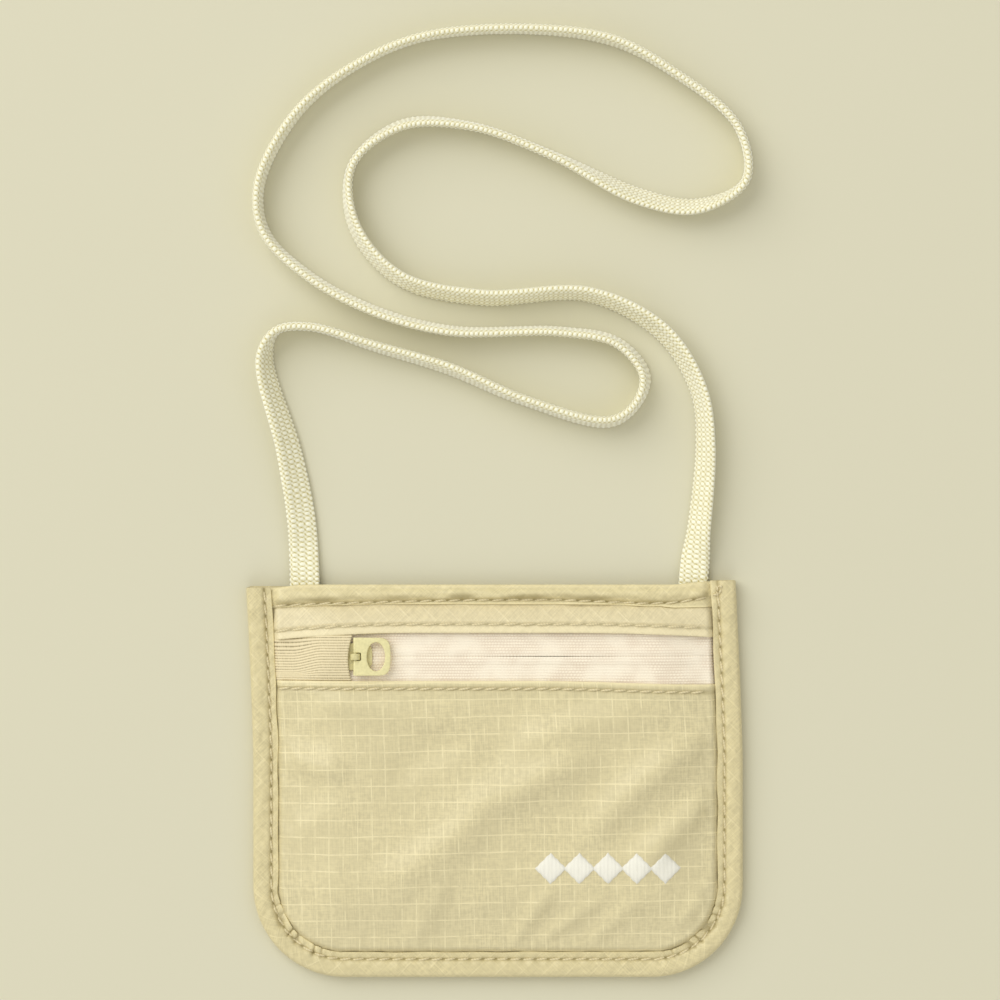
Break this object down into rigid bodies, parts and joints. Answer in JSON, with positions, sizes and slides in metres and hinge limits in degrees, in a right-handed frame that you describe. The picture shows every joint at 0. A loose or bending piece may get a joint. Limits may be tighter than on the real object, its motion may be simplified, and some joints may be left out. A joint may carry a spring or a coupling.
{
  "type": "neck pouch wallet",
  "caption": "Flat fabric pouch worn round the neck: zipped front pocket under a bound top edge, open slip pocket behind it, and a flat braided cord.",
  "frame": {"origin": "middle of the pouch's footprint, without the cord, on the surface that it lies on", "axes": "+X to the pouch's right, +Y to the top edge where the cord leaves, +Z out of the front"},
  "size_m": [0.1274, 0.2413, 0.0087],
  "materials": {
    "ripstop": "matt woven, slight sheen",
    "binding_tape": "matt woven, slight sheen",
    "zip_tape": "matt knitted",
    "zip_coil": "satin",
    "grosgrain": "ribbed, slight sheen",
    "painted_hardware": "satin",
    "braid": "soft sheen",
    "thread": "matt",
    "embroidery": "satin stitch sheen"
  },
  "bodies": {
    "pouch": {"back_panel": "ripstop", "pocket_lining": "ripstop", "front_panel": "ripstop", "top_strip": "ripstop", "top_band": "binding_tape", "edge_binding": "binding_tape", "zip_garage_ribbon": "grosgrain", "zip_tape_upper": "zip_tape", "zip_tape_lower": "zip_tape", "zip_coil_upper": "zip_coil", "zip_coil_lower": "zip_coil", "seam_top_band": "thread", "seam_top_strip": "thread", "seam_zip_lower": "thread", "seam_binding": "thread", "embroidered_motif": "embroidery", "cord_end_left": "braid", "cord_end_right": "braid", "neck_cord": "braid"},
    "slider": {"zip_slider": "painted_hardware"},
    "tab": {"pull_tab": "painted_hardware"}
  },
  "joints": [
    {"name": "zip_slide", "type": "slide", "parent": "pouch", "child": "slider", "axis": [1, 0, 0], "range_m": [0, 0.076]},
    {"name": "pull_tab_hinge", "type": "hinge", "parent": "slider", "child": "tab", "pos_m": [-0.0354, 0.0316, 0.00735], "axis": [0, -1, 0], "range_deg": [0, 140]}
  ]
}
